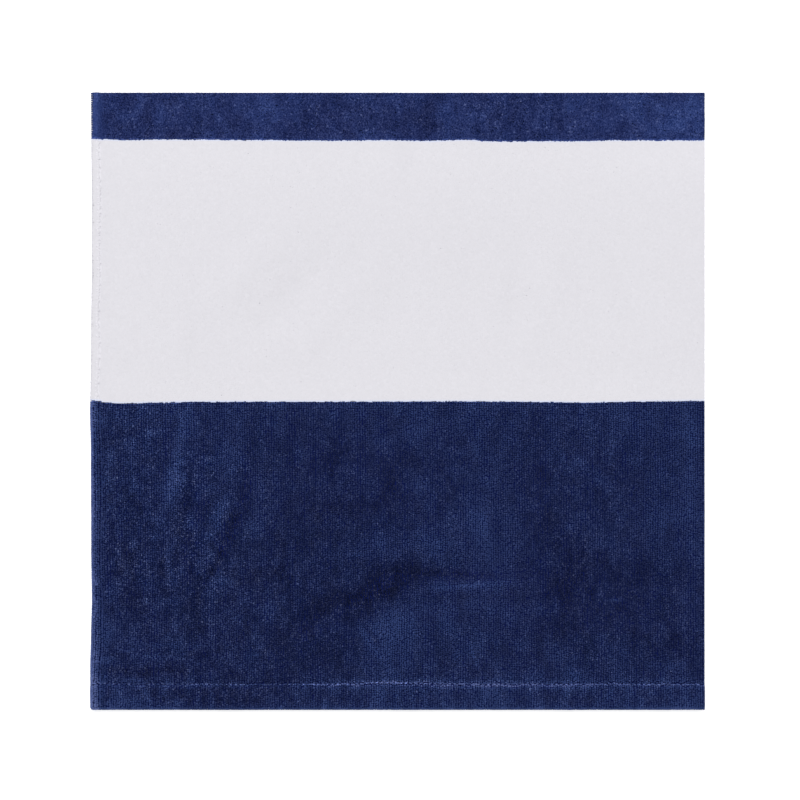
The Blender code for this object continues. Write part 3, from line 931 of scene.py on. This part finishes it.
def white_tone(tufts):
    """How light the white nap lies round each tuft: almost even, with painted shade along its troughs and
    waves and painted light over the side hem's stitch groove.
    """
    x, y = tufts["tip"][:, 0], tufts["tip"][:, 1]
    tone = mound_sum(x, y, BRUSHED_AND_SHADED_WHITE) + smooth_noise(x, y, WHITE_CLOUDS)
    tone += smooth_noise(x, y, WHITE_CLUMPS) + tufts["grain"] * WHITE_TUFT_GRAIN
    gap = tufts["from_side"] - SIDE_HEM.stitches
    # painted light that fills the shade of the side hem's stitch groove
    return tone + WHITE_GROOVE_LIGHT * bell(gap, WHITE_HEM_REACH)


# A tuft's points: 0 to 2 round its foot, 3 to 5 round its shoulder, and 6 at its crown
TUFT_FACES = (
    (0, 1, 3), (3, 1, 4), (1, 2, 4), (4, 2, 5), (2, 0, 5), (5, 0, 3),
    (3, 4, 6), (4, 5, 6), (5, 3, 6),
)
TUFT_POINTS = 7
TUFT_FOOT = -0.15  # height of a tuft's foot, inside the ground weave, as a share of its own
FOOT_WIDTH = 0.72  # width there, as a share of the shoulder's
SHOULDER_TURN = 60.0  # how far the shoulder's corners are turned from the foot's

# The form of a tuft: reach across and along the wale, how high its widest ring is, and what share
# of its reach it has where the cloth turns under
Form = namedtuple("Form", "across along shoulder turned")
NAVY_TUFT = Form(across=0.00097, along=0.00110, shoulder=0.80, turned=1.20)
LIGHT_TUFT = Form(across=0.00175, along=0.00160, shoulder=0.95, turned=0.45)
WHITE_TUFT = Form(across=0.00230, along=0.00230, shoulder=0.95, turned=0.5)


def white_stripe_edges(x):
    """Where along the cloth the white stripe starts and ends, at each place across it."""
    near = -LENGTH / 2.0 + NEAR_STRIPE + table_curve(x, ROW_WANDER, "near")
    far = -LENGTH / 2.0 + FAR_EDGE + table_curve(x, ROW_WANDER, "far")
    return near[:, None], far[:, None]


def tuft_points(form, tufts):
    """Points of many tufts, their places in plan, and how far up its tuft each point stands."""
    count = len(tufts["wide"])
    wide = tufts["wide"] * np.where(tufts["open"], 1.0, form.turned)
    normal = tufts["normal"]
    across = np.cross((0.0, 1.0, 0.0), normal)
    across /= np.linalg.norm(across, axis=1)[:, None]
    along = np.cross(normal, across)
    foot = tufts["tip"] - normal * tufts["height"][:, None]
    points = np.empty((count, TUFT_POINTS, 3))
    plan = np.repeat(tufts["plan"][:, None], TUFT_POINTS, axis=1)
    share = np.empty((count, TUFT_POINTS))
    rings = ((TUFT_FOOT, FOOT_WIDTH, 0.0), (form.shoulder, 1.0, SHOULDER_TURN))
    for corner in range(3):
        for ring, (level, width, turn) in enumerate(rings):
            angle = tufts["turn"] + math.radians(120.0 * corner + turn)
            reach_across = (np.cos(angle) * wide * form.across * width)[:, None]
            reach_along = (np.sin(angle) * wide * form.along * width)[:, None]
            lean = max(0.0, level) * tufts["lean"]
            rise = normal * (level * tufts["height"])[:, None]
            index = ring * 3 + corner
            points[:, index] = foot + rise + across * reach_across + along * reach_along + lean
            plan[:, index] += np.concatenate([reach_across, reach_along], axis=1)
            share[:, index] = max(0.0, level)
    points[:, 6] = foot + normal * tufts["height"][:, None] + tufts["lean"]
    share[:, 6] = 1.0
    return points, plan, share


def tuft_piece(band, tufts, material):
    """One mesh of many tufts, each a wisp with a narrow foot, a wide shoulder and a low crown."""
    points, plan, share = tuft_points(band.form, tufts)
    trim = tufts["trim"][:, None]
    points[..., 0] = np.clip(points[..., 0], trim - WIDTH / 2.0, WIDTH / 2.0 - trim)
    points[..., 1] = np.clip(points[..., 1], trim - LENGTH / 2.0, LENGTH / 2.0 - trim)
    points[..., 2] = np.maximum(points[..., 2], 0.0)
    near, far = white_stripe_edges(tufts["tip"][:, 0])
    edge = np.maximum(near - points[..., 1], points[..., 1] - far)
    if band.form is WHITE_TUFT:
        ragged = tufts["ragged"][:, None]
        points[..., 1] = np.clip(points[..., 1], near + ragged, far + ragged)
        edge = -np.maximum(near - points[..., 1], points[..., 1] - far)
    values = {
        "edge": edge,
        "tone": np.repeat(np.exp(tufts["tone"]), TUFT_POINTS),
        "shade": np.exp(tufts["shade"]),
        "grain": np.repeat(tufts["grain_share"], TUFT_POINTS),
        # how far up its tuft each point stands, which the pile's material turns into painted shade towards
        # the foot
        "height": share,
    }
    faces = repeated(TUFT_FACES, len(points), TUFT_POINTS)
    piece = mesh_piece(band.name, points.reshape(-1, 3), faces, material, False, **values)
    flat_map(piece, plan.reshape(-1, 2))


# Pieces of the pile, from the end hem's fold: name, where the piece ends, and its tufts' form
Band = namedtuple("Band", "name end form")
BANDS = (
    Band("pile_end_hem", END_HEM.stitches, NAVY_TUFT),
    Band("pile_near_stripe_front", (END_HEM.stitches + NEAR_STRIPE) / 2.0, NAVY_TUFT),
    Band("pile_near_stripe_back", NEAR_STRIPE, NAVY_TUFT),
    Band("pile_white_stripe_front", NEAR_STRIPE + WHITE_STRIPE / 2.0, WHITE_TUFT),
    Band("pile_white_stripe_back", FAR_EDGE, WHITE_TUFT),
    Band("pile_far_stripe", LENGTH, LIGHT_TUFT),
)


class TOWEL_OT_pile(bpy.types.Operator):
    """Plants the sheared pile, tuft by tuft, on the face and round the two hems"""

    bl_idname = "towel.pile"
    bl_label = "Sheared pile"

    def execute(self, context):
        sizes = context.scene.towel_sizes
        colours = context.scene.towel_colours
        tufts = pile_tufts(sizes)
        # the painted glint, the green lift and the painted fold sheen of the navy pile
        pale = [tuple(tint) for tint in (colours.navy_glint, colours.navy_lift, colours.navy_fold_sheen)]
        navy = pile_finish("navy_pile", NAVY_NAP, tuple(colours.navy_dye), NAVY_RUN, *pale)
        light = pile_finish("light_navy_pile", LIGHT_NAP, tuple(colours.far_dye), NAVY_RUN, *pale)
        plain = (NO_TINT, NO_TINT, NO_TINT)
        white = pile_finish("white_pile", WHITE_NAP, tuple(colours.white), WHITE_RUN, *plain)
        start = -math.inf
        for band in BANDS:
            inside = (tufts["from_end"] > start) & (tufts["from_end"] <= band.end)
            chosen = {label: values[inside] for label, values in tufts.items()}
            start = band.end
            if band.form is WHITE_TUFT:
                chosen["grain_share"] = np.ones(len(chosen["wide"]))
                chosen["tone"] = white_tone(chosen)
                chosen["shade"] = np.zeros((len(chosen["wide"]), TUFT_POINTS))
                tuft_piece(band, chosen, white)
                continue
            chosen["grain_share"] = navy_grain(chosen)
            chosen["tone"] = navy_tone(chosen)
            chosen["shade"] = navy_shade(chosen, sizes.wale_pitch)
            tuft_piece(band, chosen, light if band.form is LIGHT_TUFT else navy)
        return {"FINISHED"}


# --- Back loops -------------------------------------------------------------------------

# A loop's points: 0 to 2 round its waist, 3 in the ground weave, and 4 where it hangs lowest
LOOP_FACES = ((0, 1, 3), (1, 2, 3), (2, 0, 3), (1, 0, 4), (2, 1, 4), (0, 2, 4))
LOOP_POINTS = 5
LOOP_SEED = 41

# Shares of the pitch
LOOP_STRAY = 0.09
LOOP_ACROSS = 0.50
LOOP_ALONG = 0.66
LOOP_DROOP = 0.15  # how far the lowest point lies to one side

# Shares of the loop's height
LOOP_WAIST = 0.45
LOOP_ROOT = 1.25
LOOP_UNEVEN = 0.12

LOOP_TURN = 0.5  # radians that a loop may be turned either way
LOOP_TONE = 0.12  # how much one loop differs from the next


def loop_piece(name, from_side, from_end, sizes, material, random):
    """One mesh of loops on the underside, each a small lozenge that hangs from the ground weave."""
    count = len(from_side)
    pitch = sizes.loop_pitch
    x, y, low, body = cloth_body(from_side, from_end)
    x += random.normal(0.0, pitch * LOOP_STRAY, count)
    y += random.normal(0.0, pitch * LOOP_STRAY, count)
    height = sizes.loop_height * pressed(body)
    points = np.empty((count, LOOP_POINTS, 3))
    turn = random.uniform(-LOOP_TURN, LOOP_TURN, count)
    for corner in range(3):
        angle = turn + math.radians(120.0 * corner + 90.0)
        points[:, corner, 0] = x + np.cos(angle) * pitch * LOOP_ACROSS
        points[:, corner, 1] = y + np.sin(angle) * pitch * LOOP_ALONG
        points[:, corner, 2] = low + height * LOOP_WAIST
    crown = random.uniform(0.0, LOOP_UNEVEN, count) * height
    points[:, 3] = np.stack([x, y, low + height * LOOP_ROOT], axis=1)
    points[:, 4] = np.stack([x, y - pitch * LOOP_DROOP, low + crown], axis=1)
    points[..., 0] = np.minimum(points[..., 0], WIDTH / 2.0)
    points[..., 1] = np.minimum(points[..., 1], LENGTH / 2.0)
    points = points.reshape(-1, 3)
    tone = np.repeat(np.exp(random.normal(0.0, LOOP_TONE, count)), LOOP_POINTS)
    piece = mesh_piece(name, points, repeated(LOOP_FACES, count, LOOP_POINTS), material, True, tone=tone)
    flat_map(piece, points[:, :2])


class TOWEL_OT_back(bpy.types.Operator):
    """Covers the underside of the open cloth with uncut loops"""

    bl_idname = "towel.back"
    bl_label = "Back loops"

    def execute(self, context):
        sizes = context.scene.towel_sizes
        colours = context.scene.towel_colours
        pitch = sizes.loop_pitch
        places = []
        for hem, total in ((SIDE_HEM, WIDTH), (END_HEM, LENGTH)):
            start = hem.stitches + FLAP_PAST_STITCHES + pitch / 2.0
            places.append(np.arange(start, total - pitch / 3.0, pitch))
        from_side, from_end = flat_grid(*places)
        in_white = (from_end > NEAR_STRIPE) & (from_end < FAR_EDGE)
        random = np.random.default_rng(LOOP_SEED)
        for name, chosen, dye, slot in (
            ("back_loops_navy", ~in_white, colours.navy_dye, "navy_velour"),
            ("back_loops_white", in_white, colours.white, "white_velour"),
        ):
            material = loop_finish(name, tuple(dye))
            loop_piece(name, from_side[chosen], from_end[chosen], sizes, material, random)
        return {"FINISHED"}


# --- Hem stitches -----------------------------------------------------------------------

STITCH_SEED = 61
THREAD_SIDES = 6
THREAD_RINGS = 7
THREAD_TAPER = 0.30  # thickness at a stitch's ends, where it goes into the cloth, as a share
STITCH_DIP = 0.0007  # how far a stitch's ends go down into the cloth
STITCH_GAP = 0.12  # free end of the pitch at each end of a stitch
FIRST_STITCH = 0.0016  # from the fold to the first stitch of a line
LAST_STITCH = 0.0004  # from the last to the cut
STITCH_UNEVEN = 0.00015  # how much the stitches' ends differ along the line
STITCH_STRAY = 0.00005  # and across it
STITCH_SUNK = (-0.00015, 0.00025)  # how much deeper single stitches lie
THREAD_TONE = 0.12  # how much one stitch differs from the next


def stitch_faces():
    """Quads along a short thread, from ring to ring."""
    faces = []
    for ring in range(THREAD_RINGS - 1):
        here = ring * THREAD_SIDES
        there = here + THREAD_SIDES
        for side in range(THREAD_SIDES):
            after = (side + 1) % THREAD_SIDES
            faces.append((here + side, here + after, there + after, there + side))
    return faces


def stitch_points(start, end, up, width):
    """Rings of points of threads that bow up and dive into the cloth at both ends."""
    points = np.empty((len(start), THREAD_RINGS, THREAD_SIDES, 3))
    run = end - start
    sideways = np.cross(run, up)
    sideways /= np.linalg.norm(sideways, axis=1)[:, None]
    for ring in range(THREAD_RINGS):
        share = ring / (THREAD_RINGS - 1)
        bow = math.sin(math.pi * share)
        thick = width * (THREAD_TAPER + (1.0 - THREAD_TAPER) * math.sqrt(bow)) / 2.0
        middle = start + run * share + up * (STITCH_DIP * (bow - 1.0))
        for side in range(THREAD_SIDES):
            angle = 2.0 * math.pi * side / THREAD_SIDES
            around = sideways * (math.cos(angle) * thick) + up * (math.sin(angle) * thick)
            points[:, ring, side] = middle + around
    return points.reshape(-1, 3)


def stitch_line(sizes, hem, sewn, along_side, random):
    """Points of the threads of one hem's stitches, those of the face first, and how light each one is."""
    total = LENGTH if along_side else WIDTH
    ends = np.arange(FIRST_STITCH, total - LAST_STITCH, sizes.stitch_pitch)
    count = len(ends) - 1
    free = sizes.stitch_pitch * STITCH_GAP
    starts = ends[:-1] + free + random.normal(0.0, STITCH_UNEVEN, count)
    stops = ends[1:] - free + random.normal(0.0, STITCH_UNEVEN, count)
    key = (starts + stops) / 2.0 - (0.0 if along_side else WIDTH / 2.0)
    sunk, stray, light = (table_curve(key, sewn, name) for name in ("sunk", "off", "light"))
    parts = []
    for face in (True, False):
        deep = sunk + random.uniform(*STITCH_SUNK, count)
        tips = []
        for place in (starts, stops):
            off = hem.stitches + stray + random.normal(0.0, STITCH_STRAY, count)
            side, end = (off, place) if along_side else (place, off)
            x, y, low, body = cloth_body(side, end)
            height = low + body - deep if face else low + sizes.thread_width / 2.0
            tips.append(np.stack([x, y, height], axis=1))
        up = np.tile((0.0, 0.0, 1.0 if face else -1.0), (count, 1))
        parts.append(stitch_points(tips[0], tips[1], up, sizes.thread_width))
    return np.concatenate(parts), np.exp(np.tile(light + random.normal(0.0, THREAD_TONE, count), 2))


class TOWEL_OT_stitches(bpy.types.Operator):
    """Sews the two hems with a line of stitches each"""

    bl_idname = "towel.stitches"
    bl_label = "Hem stitches"

    def execute(self, context):
        sizes = context.scene.towel_sizes
        random = np.random.default_rng(STITCH_SEED)
        thread = thread_finish("hem_thread", tuple(context.scene.towel_colours.thread))
        for name, hem, sewn, along_side in (
            ("end_hem_stitches", END_HEM, SEWN_END, False),
            ("side_hem_stitches", SIDE_HEM, SEWN_SIDE, True),
        ):
            points, light = stitch_line(sizes, hem, sewn, along_side, random)
            points_each = THREAD_SIDES * THREAD_RINGS
            faces = repeated(stitch_faces(), len(light), points_each)
            piece = mesh_piece(name, points, faces, thread, True, tone=np.repeat(light, points_each))
        return {"FINISHED"}


# --- Ground weave -----------------------------------------------------------------------

GROUND_ANGLES = (0.0, 30.0, 60.0)  # lines round a turned edge, up to its top
GROUND_STEP = 0.0042
GROUND_INWARD = 0.85  # how far the ground lies inside a fold, as a share of the pile's height
GROUND_RIM = 0.2  # height of its edge there, as a share of its full height
GROOVE_LINES = 7  # lines across the groove of a hem's stitches
FLAP_GROUND = 0.8  # how high the ground lies over a turned flap, as a share of the pile's height


def ground_lines(total, hem, breaks, inward):
    """Grid lines of the ground weave, from the turned edge to the cut."""
    turned = inward + (FOLD_ROUND - inward) * (1.0 - np.cos(np.radians(GROUND_ANGLES)))
    dip = np.linspace(hem.stitches - hem.groove_reach, hem.stitches + hem.groove_reach, GROOVE_LINES)
    hem_steps = max(2, round((dip[0] - FOLD_ROUND) / GROUND_STEP) + 1)
    lines = [*turned, *np.linspace(FOLD_ROUND, dip[0], hem_steps)[:-1], *dip[:-1]]
    stops = [dip[-1], *breaks, total]
    for start, stop in zip(stops, stops[1:]):
        steps = max(1, round((stop - start) / GROUND_STEP))
        lines += list(np.linspace(start, stop, steps + 1)[:-1])
    return np.array([*lines, total])


def ground_fullness(distance, inward):
    """Share of the ground's height at distances from a turned edge."""
    reach = np.clip((distance - inward) / (FOLD_ROUND - inward), 0.0, 1.0)
    return GROUND_RIM + (1.0 - GROUND_RIM) * np.sqrt(1.0 - (1.0 - reach) ** 2)


def sheet_faces(wide, long):
    """Quads of a closed sheet of two grids: the underside's points come first."""
    over = wide * long
    row, column = np.meshgrid(np.arange(long - 1), np.arange(wide - 1), indexing="ij")
    here = (row * wide + column).ravel()
    under = np.stack([here, here + wide, here + wide + 1, here + 1], axis=1)
    upper = over + under[:, ::-1]
    left = np.arange(long - 1) * wide
    right = left + wide - 1
    front = np.arange(wide - 1)
    back = front + (long - 1) * wide
    walls = [
        np.stack([left, over + left, over + left + wide, left + wide], axis=1),
        np.stack([right, right + wide, over + right + wide, over + right], axis=1),
        np.stack([front, front + 1, over + front + 1, over + front], axis=1),
        np.stack([back, over + back, over + back + 1, back + 1], axis=1),
    ]
    return np.concatenate([upper, under, *walls])


class TOWEL_OT_ground(bpy.types.Operator):
    """Lays the ground weave that carries the pile and the loops, in place of the cloth's solid"""

    bl_idname = "towel.ground"
    bl_label = "Ground weave"

    def execute(self, context):
        sizes = context.scene.towel_sizes
        colours = context.scene.towel_colours
        inward = sizes.pile_height * GROUND_INWARD
        across = ground_lines(WIDTH, SIDE_HEM, (), inward)
        along = ground_lines(LENGTH, END_HEM, (NEAR_STRIPE, FAR_EDGE), inward)
        from_side, from_end = flat_grid(across, along)
        x, y, low, body = cloth_body(from_side, from_end)
        floor = low + sizes.loop_height * pressed(body)
        for distance, hem in ((from_side, SIDE_HEM), (from_end, END_HEM)):
            on_flap = distance < hem.stitches + FLAP_PAST_STITCHES
            floor = np.where(on_flap, low + sizes.pile_height * FLAP_GROUND, floor)
        roof = low + body - sizes.pile_height * pressed(body)
        full = ground_fullness(from_side, inward) * ground_fullness(from_end, inward)
        middle, half = (floor + roof) / 2.0, (roof - floor) / 2.0 * full
        under = np.stack([x, y, middle - half], axis=1)
        upper = np.stack([x, y, middle + half], axis=1)
        material = ground_finish("ground_weave", tuple(colours.navy_dye), tuple(colours.white))
        points = np.concatenate([under, upper])
        cloth = mesh_piece("ground_cloth", points, sheet_faces(len(across), len(along)), material, True)
        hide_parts(NODE)
        flat_width = WIDTH + 2.0 * (SIDE_HEM.stitches + FLAP_PAST_STITCHES)
        flat_length = LENGTH + 2.0 * END_HEM.stitches
        return {"FINISHED"}


# --- Stage ------------------------------------------------------------------------------

FLOOR_SIZE = 12.0
FLOOR_DROP = 0.0001
SENSOR = 36.0
KEY_PLACE = (-0.30, 2.00, 2.90)
KEY_SIZE = 2.2
WHITE_LIGHT = (1.0, 1.0, 1.0, 1.0)
NEAREST, FURTHEST = 0.01, 50.0  # what the camera sees


class TOWEL_OT_stage(bpy.types.Operator):
    """Sets out the pale floor, the soft lights and the camera straight above the cloth"""

    bl_idname = "towel.stage"
    bl_label = "Floor, lights and camera"

    def execute(self, context):
        scene = context.scene
        stage = scene.towel_stage
        half = FLOOR_SIZE / 2.0
        corners = [(-half, -half), (half, -half), (half, half), (-half, half)]
        mesh = bpy.data.meshes.new("floor")
        mesh.from_pydata([(*corner, -FLOOR_DROP) for corner in corners], [], [(0, 1, 2, 3)])
        floor = bpy.data.objects.new("floor", mesh)
        finish = Finish("floor_paper", roughness=0.9)
        finish.colour(tuple(stage.floor_colour))
        finish.shader.inputs["Emission Color"].default_value = WHITE_LIGHT
        finish.shader.inputs["Emission Strength"].default_value = stage.floor_glow
        mesh.materials.append(finish.material)
        scene.collection.objects.link(floor)

        world = bpy.data.worlds.new("studio")
        world.use_nodes = True
        world.node_tree.nodes["Background"].inputs["Color"].default_value = WHITE_LIGHT
        world.node_tree.nodes["Background"].inputs["Strength"].default_value = stage.dome
        scene.world = world

        light = bpy.data.lights.new("key", "AREA")
        light.energy = stage.key_power
        light.size = KEY_SIZE
        key = bpy.data.objects.new("key", light)
        key.location = KEY_PLACE
        key.rotation_euler = (-Vector(KEY_PLACE)).to_track_quat("-Z", "Y").to_euler()
        scene.collection.objects.link(key)

        camera = bpy.data.cameras.new("camera")
        camera.sensor_width = SENSOR
        camera.lens = stage.lens
        camera.clip_start = NEAREST
        camera.clip_end = FURTHEST
        eye = bpy.data.objects.new("camera", camera)
        eye.location = (stage.aim[0], stage.aim[1], THICKNESS + stage.frame_width * stage.lens / SENSOR)
        scene.collection.objects.link(eye)
        scene.camera = eye
        scene.view_settings.view_transform = "Standard"
        return {"FINISHED"}


# --- Panel, registration and run --------------------------------------------------------

STEPS = ("pile", "back", "stitches", "ground", "stage")


class TOWEL_PT_build(bpy.types.Panel):
    """Lists the towel's sizes, colours and building steps"""

    bl_idname = "TOWEL_PT_build"
    bl_label = "Beach towel"
    bl_space_type = "VIEW_3D"
    bl_region_type = "UI"
    bl_category = "Towel"

    def draw(self, context):
        for group in (context.scene.towel_sizes, context.scene.towel_colours, context.scene.towel_stage):
            box = self.layout.box()
            for name in group.__annotations__:
                box.prop(group, name)
        for step in STEPS:
            self.layout.operator(f"towel.{step}")


CLASSES = (
    TowelSizes,
    TowelColours,
    TowelStage,
    TOWEL_OT_pile,
    TOWEL_OT_back,
    TOWEL_OT_stitches,
    TOWEL_OT_ground,
    TOWEL_OT_stage,
    TOWEL_PT_build,
)


def register():
    for item in CLASSES:
        bpy.utils.register_class(item)
    bpy.types.Scene.towel_sizes = bpy.props.PointerProperty(type=TowelSizes)
    bpy.types.Scene.towel_colours = bpy.props.PointerProperty(type=TowelColours)
    bpy.types.Scene.towel_stage = bpy.props.PointerProperty(type=TowelStage)


def unregister():
    del bpy.types.Scene.towel_stage
    del bpy.types.Scene.towel_colours
    del bpy.types.Scene.towel_sizes
    for item in reversed(CLASSES):
        bpy.utils.unregister_class(item)


def main():
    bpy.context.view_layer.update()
    register()
    for step in STEPS:
        getattr(bpy.ops.towel, step)()


if __name__ == "__main__":
    main()
